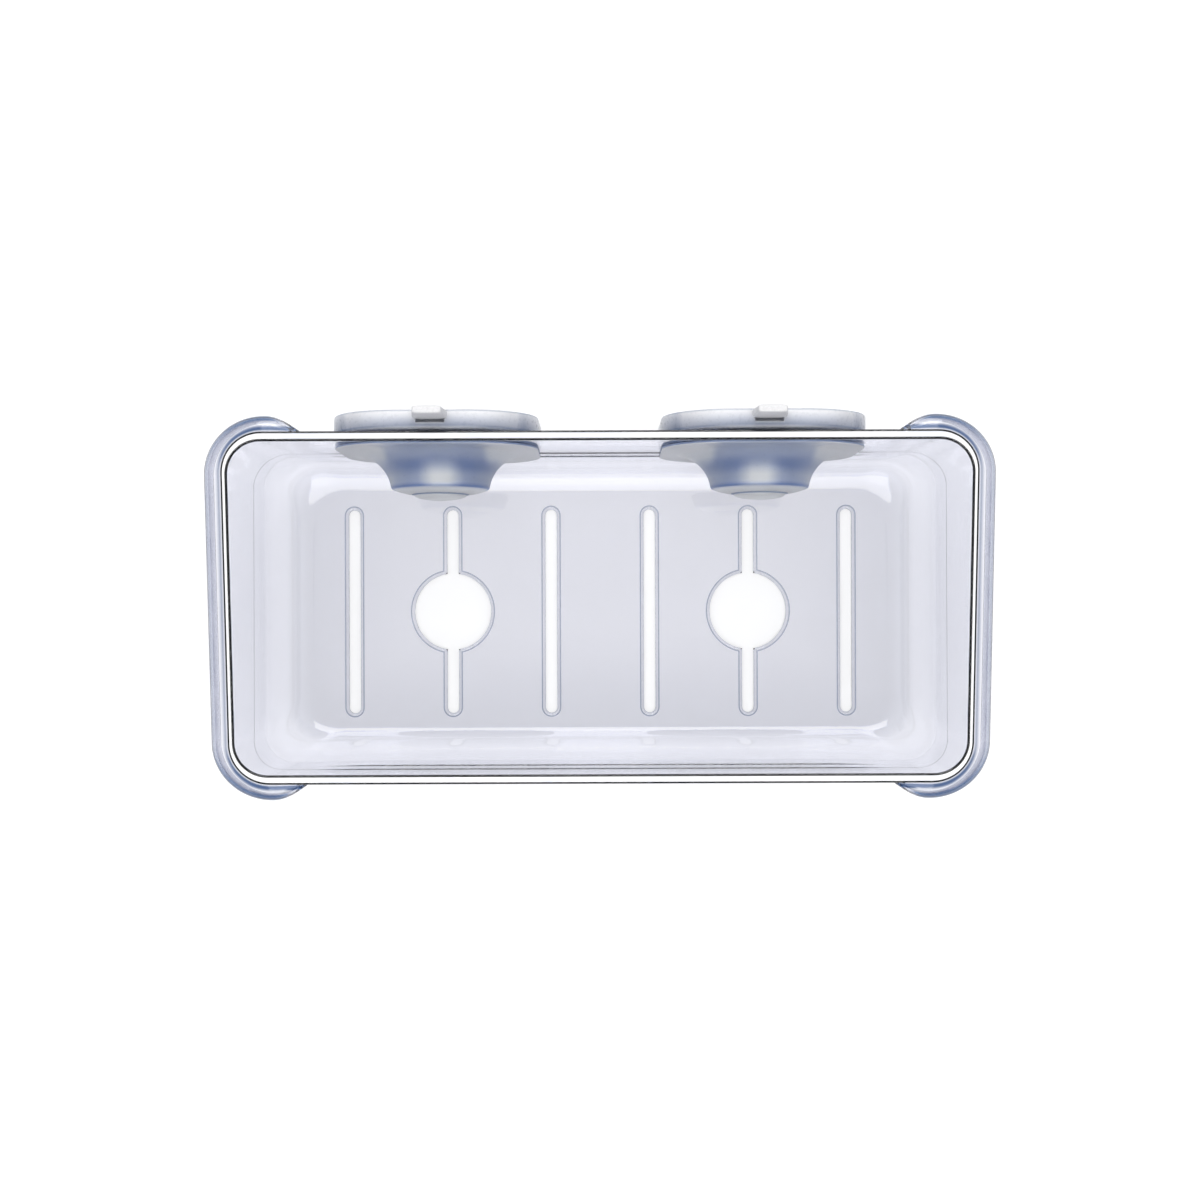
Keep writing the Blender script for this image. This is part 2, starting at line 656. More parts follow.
def lip_rows(tub, lip, edge, wall_low, wall_high, fractions):
    """Rows from the outer wall round the lip to the rim's outer edge.

    The section is a quarter ellipse and a straight skirt, with a second ellipse one skin inside.
    Where the reach r falls to 0 every row slides on to the bead's face, by smooth steps of r.
    Rows are worked out as distances beyond the rim's edge and drops below the rim's top.
    """
    reach, outward = lip_reach(tub, lip, fractions)
    buried = lip.root / 3
    share = (reach + buried) / (lip.reach + buried)
    wide = lip.root + reach
    drop = tub.bead_swell + (lip.roll - tub.bead_swell) * share
    low = lip.sink + drop
    grown = smooth(reach / lip.root)
    hollow = smooth((reach - lip.skin) / lip.skin)
    bottom = tub.bead_drop * (1 - grown) + (low + lip.skirt * share + tub.bead_swell) * grown
    ledge = bottom - (1 - grown) * tub.bead_swell
    step = np.linspace(0, 1, ROLL_STEPS + 1)[:, None]
    skirt = np.array([0.5, 1.0])[:, None]

    # Inside: the smaller ellipse where the lip is hollow, a flat underside where it is too thin.
    inner_wide = np.maximum(wide - lip.skin, wide / 3)
    inner_drop = np.maximum(drop - lip.skin, drop / 3)
    inner_far = np.maximum(inner_wide - lip.root, reach / 3)
    start = np.arcsin(np.minimum(lip.root / np.maximum(inner_wide, lip.root), 1))
    turn = start + (np.pi / 2 - start) * step
    open_far = np.maximum(inner_wide * np.sin(turn) - lip.root, 0)
    open_down = low - inner_drop * np.cos(turn)
    shut_far = inner_far * (step + 0.02)
    shut_down = bottom + (ledge - bottom) * step
    roof_far = shut_far + (open_far - shut_far) * hollow
    roof_down = shut_down + (open_down - shut_down) * hollow
    inner_end = ledge + (bottom - ledge) * grown
    skirt_down = roof_down[-1] + (inner_end - roof_down[-1]) * skirt * 0.97

    # The skirt's lower edge, rounded on both sides.
    across_shares = np.array([0, 0.12, 0.35, 0.65, 0.88, 1])[:, None]
    round_shares = np.array([0.35, 0.12, 0, 0, 0.12, 0.35])[:, None]
    lower_far = inner_far + (reach - inner_far) * across_shares
    lower_down = ledge - lip.skin * round_shares * grown

    # Outside: the skirt, and the larger ellipse up to the rim.
    start = np.arcsin(np.minimum(lip.root / wide, 1))
    turn = np.pi / 2 - (np.pi / 2 - start) * step
    bead_top = tub.bead_round * 1.06
    top_down = low - drop * np.cos(start)
    roll_far = (wide * np.sin(turn) - lip.root) * grown
    flat_down = ledge + (bead_top - ledge) * (0.3 + 0.7 * step)
    roll_down = flat_down + (low - drop * np.cos(turn) - flat_down) * grown
    roll_down[-1] = bead_top + (top_down - bead_top) * grown
    outer_down = lower_down[-1] + (roll_down[0] - lower_down[-1]) * (skirt - 0.25)

    level = 0 * skirt
    far = np.concatenate([roof_far, inner_far + level, lower_far, reach + level, roll_far])
    down = np.concatenate([roof_down, skirt_down, lower_down, outer_down, roll_down])
    rows = np.empty((*far.shape, 3))
    rows[..., :2] = edge[None, :, :2] + outward[None] * far[..., None]
    rows[..., 2] = rim_height(tub, edge[:, 1])[None] - down

    # The row on the tub's outer wall where the lip's inside starts.
    root_z = rim_height(tub, edge[:, 1]) - (bottom + (tub.bead_drop - bottom) * hollow)
    up = ((root_z - wall_low[:, 2]) / (wall_high[:, 2] - wall_low[:, 2]))[:, None]
    root = wall_low + (wall_high - wall_low) * up
    return np.concatenate([root[None], rows])


def station_fractions(tub, lip):
    """Places along the long and the short straights, close together where the lips taper."""
    past_taper = 1.08
    taper = lip.run * np.linspace(0, past_taper, TAPER_STEPS + 1)[1:] / (2 * (tub.half_x - tub.corner))
    middle = np.linspace(taper[-1], 1 - taper[-1], LONG_STEPS)[1:-1]
    return np.concatenate([taper, middle, 1 - taper[::-1]]), np.linspace(0, 1, SHORT_STEPS)[1:-1]


def edge_grid(tub, lip):
    """The rim's flat top as a thin closed band, a hair above and below the tub's own surface."""
    outer = tub.bead_round * 0.95
    inner_x, inner_y = tub.wall - outer, tub.wall + 2 * tub.bead_swell - outer
    above, below = -0.02 * MM, 0.04 * MM
    rows = rim_rows(
        tub,
        [outer, outer, inner_x, inner_x],
        [outer, outer, inner_y, inner_y],
        [below, above, above, below],
        station_fractions(tub, lip),
    )
    rows[..., 1] += tub.middle_y
    return rows


def step_growth(tub, x):
    """How far the steps have grown at x: 0 near the tub's corners, 1 along its middle."""
    return smooth((tub.half_x - 1.6 * tub.corner - np.abs(x)) / tub.step_fade)


def step_rows(tub, high, low, fractions):
    """Rows of the inner wall with two small steps, between a row under the rim and the foot's.

    The upper step runs all round and is least at the ends; the lower one is only on the long
    walls. Both lie higher at the front than at the back. How far they stand in together comes
    back too, for the foot's curve to take up.
    """
    outward = plan_outwards(fractions)
    growth = step_growth(tub, high[:, 0])
    least_share = 0.15
    one = tub.step * (least_share + (1 - least_share) * growth)
    two = one + tub.step * growth
    middle = tub.step_z - tub.step_lean * outward[:, 1]
    fall = high[:, 2] - low[:, 2]
    # Heights about a step's middle, in millimetres, and the share that the wall stands in there.
    section = ((2, 0), (0.12, 0), (0.07, 0.04), (0, 0.5), (-0.07, 0.96), (-0.12, 1), (-2, 1))
    rows = []
    for centre, before, after in ((middle, 0 * one, one), (middle - tub.step_drop, one, two)):
        for height, share in section:
            down = (high[:, 2] - centre - height * MM) / fall
            row = high + (low - high) * down[:, None]
            row[:, :2] -= outward * (before + (after - before) * share)[:, None]
            rows.append(row)
    return np.array(rows), two


def tub_grid(tub, lip):
    """The tub as one grid: underside, outer foot and wall, lip, rim, inner wall and floor."""
    fractions = station_fractions(tub, lip)
    turns = np.linspace(np.pi / 2, 0, FOOT_STEPS + 1)
    outside = foot_rows(tub, turns, tub.wall, fractions)
    inside = foot_rows(tub, turns[::-1], 0.0, fractions)
    edge = rim_rows(tub, [0], [0], [tub.bead_round], fractions)[0]
    bead_low = rim_rows(tub, [0], [tub.bead_swell], [tub.bead_drop], fractions)[0]
    lips = lip_rows(tub, lip, edge, outside[-1], bead_low, fractions)

    # The rim: two rounded edges, then the bead's lower side, which sways back to the wall.
    bend = np.linspace(0, np.pi / 2, 7)
    sway = np.linspace(0, np.pi, 5)
    in_round = tub.bead_round * (1 - np.cos(bend))
    drop_round = tub.bead_round * (1 - np.sin(bend))
    inner_x, inner_y = tub.wall, tub.wall + 2 * tub.bead_swell
    in_sway = inner_y - tub.bead_swell * (1 - np.cos(sway)) / 2
    drop_sway = tub.bead_drop + tub.bead_swell * np.linspace(-1, 1, len(sway))
    rim = rim_rows(
        tub,
        np.concatenate([in_round, inner_x - in_round[::-1], np.full(len(sway), inner_x)]),
        np.concatenate([in_round, inner_y - in_round[::-1], in_sway]),
        np.concatenate([drop_round, drop_round[::-1], drop_sway]),
        fractions,
    )

    steps, stand = step_rows(tub, rim[-1], inside[0], fractions)
    # How far the steps stand in fades out down the foot, over the first 0.9 radians of its curve.
    fade = smooth(1 - turns[::-1] / 0.9)[:, None]
    inside[..., :2] -= plan_outwards(fractions) * (stand * fade)[..., None]
    grid = np.concatenate([outside, lips, rim, steps, inside])
    grid[..., 1] += tub.middle_y
    return grid


def slot_places(slots):
    """Where the slots lie along X."""
    return (np.arange(slots.count) - (slots.count - 1) / 2) * slots.pitch


def cut_tone(mesh, tub, slots, unit):
    """Tone of every face corner in the cuts through the floor, by how far its face's middle lies
    from the clear opening, as a share of the border's width."""
    counts = np.empty(len(mesh.polygons), int)
    mesh.polygons.foreach_get("loop_total", counts)
    middles = np.empty(len(counts) * 3)
    mesh.polygons.foreach_get("center", middles)
    x, y, z = middles.reshape(-1, 3).T
    y = y - tub.middle_y
    from_slot = np.abs(x[:, None] - slot_places(slots)).min(1)
    beyond = np.maximum(np.abs(y) - (slots.run - slots.width) / 2, 0)
    off_slot = np.hypot(from_slot, beyond) - slots.width / 2
    off_hole = np.hypot(np.abs(x) - unit.x, y) - slots.hole
    off = np.minimum(off_slot, off_hole) / slots.border
    in_cut = (off < 1) & (z < tub.floor - MERGE) & (z > MERGE)
    tone = tone_at(off, (0, 0.6), (0.04, 0.3), (0.12, 0.1), (0.7, 0.1), (0.76, 0.75), (1, 0.75))
    return np.repeat(tone * in_cut, counts)


def paint_edges(mesh, context):
    """Store at every face corner how much its edge turns the light away, 0 to 1.

    It is the largest of four tones: in the cuts through the floor, on the lips by the distance
    beyond the rim's edge and more towards front and back, on the steps' narrow faces along the
    long walls, and on the rim's rounded edges, but hardly where a unit stands behind them.
    """
    tub, slots, lip, unit = settings(context, "tub", "slots", "lip", "unit")
    x, y, z = corner_points(mesh)
    y = y - tub.middle_y
    at_back = y > 0
    out_x = np.maximum(np.abs(x) - (tub.half_x - tub.corner), 0)
    out_y = np.maximum(np.abs(y) - (tub.half_y - tub.corner), 0)
    out = np.hypot(out_x, out_y)
    sideways = out_y / np.maximum(out, MERGE)
    far = (out - tub.corner) / lip.reach
    down = rim_height(tub, y) - z

    on_lip = tone_at(
        far, (0.01, 0), (0.03, 0.9), (0.15, 0.6), (0.28, 0.03), (0.5, 0.05), (0.7, 0.22),
        (0.9, 0.4), (1, 0.8),
    )
    on_lip *= 1 + np.where(at_back, 2.6, 4.0) * sideways ** 2
    on_lip *= np.where(down > lip.sink + lip.roll, 0.3, 1)

    step_z = tub.step_z - tub.step_lean * np.where(at_back, 1, -1)
    from_upper, from_lower = np.abs(z - step_z), np.abs(z - step_z + tub.step_drop)
    on_step = (from_upper < 0.1 * MM) * np.where(at_back, 0.9, 0.6)
    on_step += (from_lower < 0.1 * MM) * np.where(at_back, 0.9, 0.05)
    on_step += (from_upper < 2.1 * MM) * np.where(at_back, 0, 0.15)
    on_step *= step_growth(tub, x) * ((sideways == 1) & (far < 0))

    inset = tub.corner - out
    inner = tub.wall + 2 * tub.bead_swell * sideways
    from_edge = np.minimum(inset, inner - inset) / tub.bead_round
    on_rim = tone_at(from_edge, (0.1, 0.9), (0.5, 0.5), (0.7, 0))
    on_rim *= (down < tub.bead_round) & (from_edge > -0.1)
    by_unit = smooth((1.25 - np.abs(np.abs(x) - unit.x) / unit.neck) / 0.4) * at_back
    on_rim *= 1 - 0.9 * by_unit
    store_tone(mesh, np.maximum.reduce([cut_tone(mesh, tub, slots, unit), on_lip, on_step, on_rim]))


def corner_points(mesh):
    """The points of the mesh's face corners, as x, y and z."""
    points = np.empty(len(mesh.vertices) * 3)
    mesh.vertices.foreach_get("co", points)
    corners = np.empty(len(mesh.loops), int)
    mesh.loops.foreach_get("vertex_index", corners)
    return points.reshape(-1, 3)[corners].T


def store_tone(mesh, tone):
    """Store the face corners' tone, 0 to 1, for the materials to read."""
    layer = mesh.attributes.new("turned_edge", "FLOAT", "CORNER")
    layer.data.foreach_set("value", np.clip(tone, 0, 1).astype(np.float32))


def paint_turned(mesh, context, side):
    """Tone of a cover or button, by the distance across the axis u, and along it v.

    The neck's flanks and root stand edge-on to the light and read deeper than its crown. So do
    the flange's thin edge and the hollow over the neck, the neck's front edge and the gap round
    the button.
    """
    unit = context.scene.basket_unit
    axis = unit_axis(context, side)
    x, y, z = corner_points(mesh)
    across = (x - axis[0]) / unit.neck
    u = np.abs(across + 0.1 * np.sign(axis[0]))
    v = (axis[1] - y) / unit.neck_front
    near = np.hypot(x - axis[0], z - axis[2]) / unit.neck
    flank = tone_at(u, (0.16, 0), (0.3, 0.3), (0.45, 0.6), (0.65, 0.62), (0.9, 0.5), (1.05, 0.35))
    root = tone_at(
        v, (0.15, 0.3), (0.25, 0.6), (0.4, 0.7), (0.6, 0.45), (0.78, 0),
        (0.94, 0), (0.985, 0.7), (1.01, 0.6), (1.04, 0),
    )
    on_neck = root + flank * (v < 1.02) * (1 - 0.7 * root)
    on_flange = 0.03 + 0.15 * smooth((1.7 - near) / 0.5)
    on_flange += 0.5 * smooth((1.1 - np.abs(across)) / 0.2) * (z > axis[2])
    tone = on_flange + (on_neck - on_flange) * smooth((1.37 - near) / 0.27)
    thin_edge = (axis[1] - y < unit.cover_rear + 0.55 * MM) & (near > 1.4)
    gap = (np.abs(near * unit.neck - unit.button) < 0.45 * MM) & (v > 1.03)
    store_tone(mesh, np.where(thin_edge | gap, 0.85, tone))


def paint_pad(mesh, context, side):
    """Tone of a pad's ring, by the distance across the axis u, and along it v: deeper at both
    ends, in a slightly bowed band at the front and in a line along the rear edge."""
    unit = context.scene.basket_unit
    axis = unit_axis(context, side)
    x, y, _ = corner_points(mesh)
    u = np.abs(x - axis[0]) / unit.pad_half
    v = (y - axis[1]) / unit.pad_rear
    ends = tone_at(u, (0.82, 0), (0.86, 0.35), (0.93, 0.2), (1, 0.1))
    band = tone_at(
        v + 0.12 * u ** 2, (0.12, 0), (0.22, 0.15), (0.33, 0.85), (0.4, 0.55), (0.6, 0.12), (0.9, 0)
    )
    line = tone_at(v, (0.9, 0), (0.96, 0.5), (0.985, 0.6), (1, 0.05))
    store_tone(mesh, ends + band + line)


def flare_levels(floor, edge, border, steps=5):
    """Heights through the floor and how far a cut with rounded edges widens at each:
    edge - sqrt(edge^2 - (edge - d)^2) at a depth d under either face. On top the rounding ends
    in a shallow sunk border with a steep rim."""
    depth = edge * (1 - np.cos(np.linspace(0, np.pi / 2, steps + 1)))
    widen = edge - np.sqrt(np.maximum(edge ** 2 - (edge - depth) ** 2, 0))
    brim = border - np.array([0.45, 0.1, 0]) * MM
    rise = floor - np.array([0.09, 0.08, 0]) * MM
    height = np.concatenate([[-MM], depth, floor - depth[:0:-1], rise, [floor + MM]])
    return height, np.concatenate([[edge], widen, widen[:0:-1], brim, [border]])


def floor_cutters(context):
    """Meshes that cut the slots, the round holes and the two bores in the back wall."""
    tub, slots, unit = settings(context, "tub", "slots", "unit")
    height, widen = flare_levels(tub.floor, slots.edge, slots.border)
    height = height[:, None]
    half_turn = np.linspace(0, np.pi, 17)
    turn = np.concatenate([half_turn, half_turn + np.pi])
    centre = np.repeat([1, -1], len(half_turn)) * (slots.run - slots.width) / 2 + tub.middle_y
    radius = (slots.width / 2 + widen)[:, None]
    outline = np.stack([radius * np.cos(turn), centre + radius * np.sin(turn), height + 0 * turn], -1)
    joined = bmesh.new()
    for x in slot_places(slots):
        part = grid_mesh("slot", outline + [x, 0, 0], caps=True)
        joined.from_mesh(part)
        bpy.data.meshes.remove(part)
    cutters = [bpy.data.meshes.new("slots")]
    joined.to_mesh(cutters[0])
    joined.free()
    turn = np.linspace(0, 2 * np.pi, 96, endpoint=False)
    radius = (slots.hole + widen)[:, None]
    hole = np.stack([radius * np.cos(turn), radius * np.sin(turn) + tub.middle_y, height + 0 * turn], -1)
    bore = unit.hub + 0.3 * MM
    for side, sign in SIDES.items():
        cutters.append(grid_mesh(f"hole_{side}", hole + [sign * unit.x, 0, 0], caps=True))
        through = turned_grid(context, side, [(bore, -tub.wall - 2 * MM, 0), (bore, MM, 0)], 72)
        cutters.append(grid_mesh(f"bore_{side}", through, caps=True))
    return cutters


def make_turned(
    context, name, side, profile, material, body, replaced, closed=True, half=None, paint=None
):
    """A turned piece from a finished profile, closed as a loop or at poles on the axis."""
    mesh = grid_mesh(name, turned_grid(context, side, profile, half=half), wrap_rows=closed)
    if paint:
        paint(mesh, context, side)
    return add_piece(f"{name}_{side}", mesh, material, body, replaced)


def cover_profile(unit):
    """Section of a bell cover, from the button's bore outwards and back inside: a domed front,
    the neck's edge, a quarter-circle flare to the flange, and the same flare one skin inside."""
    rear, skin = unit.cover_rear, unit.cover_skin
    flange, bore = 1.2 * MM, unit.button + 0.3 * MM
    middle = (unit.neck + unit.flare, -(rear + flange + unit.flare))
    flare, inner_flare = unit.flare, unit.flare + skin
    first = np.arcsin((-middle[1] - unit.neck_front) / flare)
    inner_first = np.arcsin((-middle[1] - unit.neck_front + skin) / inner_flare)
    inner_last = np.arcsin((-middle[1] - rear) / inner_flare)
    outer = arc(middle, (-flare, flare), first, np.pi / 2, 28)
    inner = arc(middle, (-inner_flare, inner_flare), inner_last, inner_first, 20)
    face, round_steps = unit.neck_front + unit.face_rise, 6
    front = fillet([
        (bore, -face + skin, 0),
        (bore, -face, 0),
        ((bore + unit.neck) / 2, -unit.neck_front - unit.face_rise * 0.66, 0),
        (unit.neck - 0.1 * MM, -unit.neck_front - 0.1 * MM, 0),
        tuple(outer[2]),
    ], np.array([0, 0.4, 2.5, 0.9, 0]) * MM, round_steps, closed=False)
    rim = fillet([
        tuple(outer[-1]),
        (unit.cover_half, -rear - 0.7 * MM, 1),
        (unit.cover_half, -rear, 1),
        tuple(inner[0]),
    ], np.array([0, 0.35, 0.2, 0]) * MM, 5, closed=False)
    # The first corner only leads in to the bore's edge, so its points are left out.
    return np.concatenate([front[round_steps + 1:], outer[3:-1], rim, inner[1:]])


def button_profile(unit):
    """Section of a push button from its front pole to its rear one: an elliptic dome, a brim
    behind the cover's face, a hollow back and the socket that holds the stem."""
    radius, face = unit.button, unit.neck_front + unit.face_rise
    brim, skin, socket, stem = 1.1 * MM, 1.5 * MM, 4.5 * MM, 3.3 * MM
    turn = np.linspace(0, 1, 14) * np.pi / 2
    dome = np.stack([
        radius * 0.93 * np.sin(turn), -face - unit.button_rise * (0.16 + 0.84 * np.cos(turn)), 0 * turn
    ], -1)
    ledge = -face + unit.cover_skin + 0.6 * MM
    roof, end = -face + 0.3 * MM, -face + 6 * MM
    back = fillet([
        tuple(dome[-1]),
        (radius, -face, 0),
        (radius, ledge, 0),
        (radius + brim, ledge, 0),
        (radius + brim, ledge + brim, 0),
        (radius - skin, ledge + brim, 0),
        (radius - skin, roof, 0),
        (socket, roof, 0),
        (socket, end, 0),
        (stem, end, 0),
        (stem, roof + 0.3 * MM, 0),
        (0, roof + 0.3 * MM, 0),
    ], np.array([0, 0.7, 0.1, 0.1, 0.3, 0.2, 0.3, 0.3, 0.2, 0.2, 0.2, 0]) * MM, 4, closed=False)
    return np.concatenate([dome[:-1], back])


def pad_profiles(unit):
    """Sections of a pad's three pieces: the firm ring that grips the backing plate, the thin cup
    from the ring's lip to the boss, and the boss that holds the stem's end."""
    rear, lip = unit.pad_rear, unit.pad_lip
    plate, grip, behind = 26.8 * MM, 20.5 * MM, 3.5 * MM
    ring = fillet([
        (plate, unit.pad_front, 0),
        (unit.pad_half, unit.pad_front, 1),
        (unit.pad_half, rear, 1),
        (lip, rear, 0),
        (plate - 0.2 * MM, behind + 2.1 * MM, 0),
        (grip, behind + 0.5 * MM, 0),
        (grip, behind, 0),
        (plate, behind, 0),
    ], np.array([0.3, 1.1, 1.1, 0.5, 2, 0.1, 0.1, 0.1]) * MM, 5)
    web, boss, socket = rear - unit.travel, 8.0 * MM, 4.9 * MM
    cup = fillet([
        (boss + 0.2 * MM, web, 0),
        (22 * MM, web - 0.1 * MM, 0),
        (27 * MM, web + 1.0 * MM, 0),
        (lip + 0.1 * MM, rear - 0.02 * MM, 0),
        (27.4 * MM, web + 0.6 * MM, 0),
        (22 * MM, web - 0.8 * MM, 0),
        (boss + 0.2 * MM, web - 1.2 * MM, 0),
    ], np.array([0.2, 4, 4, 0.05, 4, 4, 0.2]) * MM, 5)
    plug = fillet([
        (0, web, 0),
        (boss, web, 0),
        (boss, -0.2 * MM, 0),
        (socket, -0.2 * MM, 0),
        (socket, web - 1.1 * MM, 0),
        (0, web - 1.1 * MM, 0),
    ], np.array([0, 0.3, 0.3, 0.2, 0.1, 0]) * MM, 4, closed=False)
    return ring, cup, plug


def coil_grid(unit, front, rear):
    """The return spring about its axis. Its middle line is radius (cos t, sin t) while it moves
    from front to rear, slowly in the two end turns; round it the wire's circle lies in the plane
    of the outward direction and the direction square to it and to the line."""
    share = np.linspace(0, 1, unit.turns * 40 + 1)
    end, close = 1 / unit.turns, 0.12
    pace = np.interp(share, [0, end, 1 - end, 1], [0, close, 1 - close, 1])
    turn = 2 * np.pi * unit.turns * share
    outward = np.stack([np.cos(turn), 0 * turn, np.sin(turn)], -1)
    line = unit.spring * outward
    line[:, 1] = front + (rear - front) * pace
    way = np.gradient(line, axis=0)
    way /= np.linalg.norm(way, axis=1, keepdims=True)
    lift = np.cross(way, outward)[:, None]
    about = np.linspace(0, 2 * np.pi, 14, endpoint=False)[None, :, None]
    return line[:, None] + unit.wire / 2 * (outward[:, None] * np.cos(about) + lift * np.sin(about))


def tab_grid(unit, tab):
    """A release tab: a thin foot in the pad and a tapered blade, every row a rounded rectangle
    (w sign(cos t) |cos t|^p, d sign(sin t) |sin t|^p). The blade's lower and upper edges are
    quarter circles, and its rear face stays in line with the pad's."""
    low = unit.z + unit.pad_half + 0.35 * MM
    high = unit.z + unit.pad_half + tab.rise
    foot = unit.z + unit.pad_half - tab.foot_depth
    bend = np.linspace(0, np.pi / 2, 6)
    rise = 1 - np.cos(bend)
    ease = 1 - np.sin(bend)
    height = np.concatenate([
        [foot, foot + 0.3 * MM, low - 0.05 * MM], low + tab.heel * rise, high - tab.edge * ease
    ])
    share = np.clip((height - low) / (high - low), 0, 1)
    shrink = np.concatenate([[0, 0, 0], ease, rise])
    at_heel = np.arange(len(height)) < 3 + len(bend)
    wide = (tab.width + (tab.top_width - tab.width) * share) / 2 - tab.edge * shrink
    half_thick = (tab.thick + (tab.top_thick - tab.thick) * share) / 2
    middle = unit.pad_rear - 0.2 * MM - half_thick
    thick = half_thick - np.where(at_heel, tab.heel, tab.edge) * shrink
    # The foot's three rows.
    wide[:3] = np.array([4.1, 4.4, 4.4]) * MM
    thick[:3] = np.array([0.45, 0.7, 0.7]) * MM
    middle[:3] = FOOT_MIDDLE
    turn = np.linspace(0, 2 * np.pi, 64, endpoint=False)
    power = 0.36
    across, along = (np.sign(wave) * np.abs(wave) ** power for wave in (np.cos(turn), np.sin(turn)))
    return np.stack([
        wide[:, None] * across, middle[:, None] + thick[:, None] * along, height[:, None] + 0 * turn
    ], -1)


class BASKET_OT_tub(bpy.types.Operator):
    """Build the clear tub with its lips, slots, round holes and bores"""

    bl_idname = "basket.tub"
    bl_label = "Tub"
    bl_options = {"REGISTER", "UNDO"}

    def execute(self, context):
        tub, lip, colours = settings(context, "tub", "lip", "colours")
        mesh = carve("tub", grid_mesh("tub", tub_grid(tub, lip), caps=True), floor_cutters(context))
        paint_edges(mesh, context)
        material = shared(clear_styrene, colours)
        add_piece("clear_tub", mesh, material, "basket_body", ["basket"], 24, True)
        mesh = grid_mesh("rim_edge", edge_grid(tub, lip), wrap_rows=True)
        add_piece("rim_edge", mesh, bright_edge(colours), "basket_body", ())
        return {"FINISHED"}


class BASKET_OT_covers(bpy.types.Operator):
    """Build the two frosted bell covers"""

    bl_idname = "basket.covers"
    bl_label = "Bell covers"
    bl_options = {"REGISTER", "UNDO"}

    def execute(self, context):
        unit, colours = settings(context, "unit", "colours")
        profile, material = cover_profile(unit), shared(frosted_polycarbonate, colours)
        for side in SIDES:
            make_turned(
                context, "frosted_bell", side, profile, material, "basket_body", [f"bell_cover_{side}"],
                half=unit.cover_half, paint=paint_turned,
            )
        return {"FINISHED"}


class BASKET_OT_buttons(bpy.types.Operator):
    """Build the two domed push buttons"""

    bl_idname = "basket.buttons"
    bl_label = "Push buttons"
    bl_options = {"REGISTER", "UNDO"}

    def execute(self, context):
        unit, colours = settings(context, "unit", "colours")
        profile, material = button_profile(unit), shared(frosted_polycarbonate, colours)
        for side in SIDES:
            make_turned(
                context, "domed_button", side, profile, material, f"plunger_{side}",
                [f"push_button_{side}"], closed=False, paint=paint_turned,
            )
        return {"FINISHED"}


class BASKET_OT_pads(bpy.types.Operator):
    """Build the soft pads: a firm ring, a thin cup that flattens and the boss that the stem moves"""

    bl_idname = "basket.pads"
    bl_label = "Suction pads"
    bl_options = {"REGISTER", "UNDO"}

    def execute(self, context):
        unit, tab, colours = settings(context, "unit", "tab", "colours")
        ring, cup, plug = pad_profiles(unit)
        material = shared(soft_elastomer, colours)
        sheet = shared(soft_elastomer, colours, "thin clear elastomer", 0.2 * MM)
        # The pocket for the tab's foot, cut down through the ring's top edge.
        corners = np.array([(-1, -1), (1, -1), (1, 1), (-1, 1)]) * [tab.width / 2 - 1.1 * MM, 1.7 * MM]
        pocket = np.empty((2, 4, 3))
        pocket[..., :2] = corners + [0, FOOT_MIDDLE - 0.3 * MM]
        pocket[..., 2] = unit.pad_half + np.array([[-tab.foot_depth - 0.6 * MM], [MM]])
        for side in SIDES:
            x, y, z = unit_axis(context, side)
            mesh = grid_mesh("pad_ring", turned_grid(context, side, ring), wrap_rows=True)
            mesh = carve("pad_ring", mesh, [grid_mesh("pocket", pocket + [x, y, z], caps=True)])
            paint_pad(mesh, context, side)
            add_piece(
                f"pad_ring_{side}", mesh, material, "basket_body", [f"suction_pad_{side}"]
            )
            web = make_turned(context, "pad_cup", side, cup, sheet, "basket_body", ())
            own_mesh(web)
            make_turned(
                context, "pad_boss", side, plug, material, f"plunger_{side}", (), closed=False
            )
        return {"FINISHED"}


class BASKET_OT_clamps(bpy.types.Operator):
    """Build the wall gaskets and finish the backing plates and ring nuts"""

    bl_idname = "basket.clamps"
    bl_label = "Clamps"
    bl_options = {"REGISTER", "UNDO"}

    def execute(self, context):
        unit, colours = settings(context, "unit", "colours")
        inner, outer = unit.hub + 0.6 * MM, unit.hub + 6.6 * MM
        front, rear = 0.32 * MM, 1.28 * MM
        ring = fillet([
            (inner, front, 0), (outer, front, 0), (outer, rear, 0), (inner, rear, 0)
        ], np.full(4, 0.25 * MM), 4)
        rubber = satin_plastic("grey gasket rubber", colours.rubber, linear("7B7F85"), 0.7, 0.8)
        nut = satin_plastic("satin nut plastic", colours.nut, linear("A9AEB8"), 0.45)
        plate = frosted_polycarbonate(colours, "frosted plate polycarbonate", 0.38)
        for side in SIDES:
            make_turned(
                context, "gasket_ring", side, ring, rubber, "basket_body", [f"wall_gasket_{side}"]
            )
            finish_node(f"ring_nut_{side}", nut)
            finish_node(f"backing_plate_{side}", plate)
        return {"FINISHED"}


